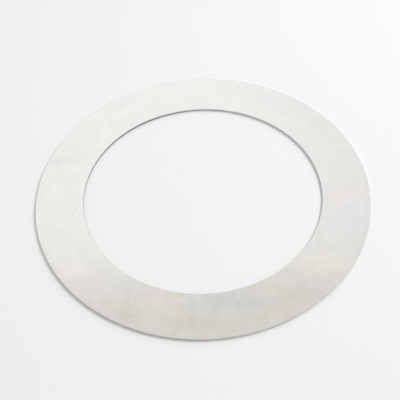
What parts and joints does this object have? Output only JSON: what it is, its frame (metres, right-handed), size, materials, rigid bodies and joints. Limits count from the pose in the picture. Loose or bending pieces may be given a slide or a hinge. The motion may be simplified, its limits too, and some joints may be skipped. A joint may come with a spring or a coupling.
{
  "type": "flat washer",
  "caption": "Thin flat stainless washer: a wide round ring of sheet metal with a large clearance bore, plain faces and lightly broken edges.",
  "frame": {"origin": "centre of the bore on the lower face, which is the face the washer lies on", "axes": "+Z along the bore axis, from the lower face to the upper face; X and Y lie in the lower face"},
  "size_m": [0.07, 0.07, 0.0004],
  "materials": {
    "stainless_sheet": "mill-finished stainless sheet, soft satin, faintly cloudy"
  },
  "bodies": {
    "root": {"washer": "stainless_sheet"}
  },
  "joints": []
}
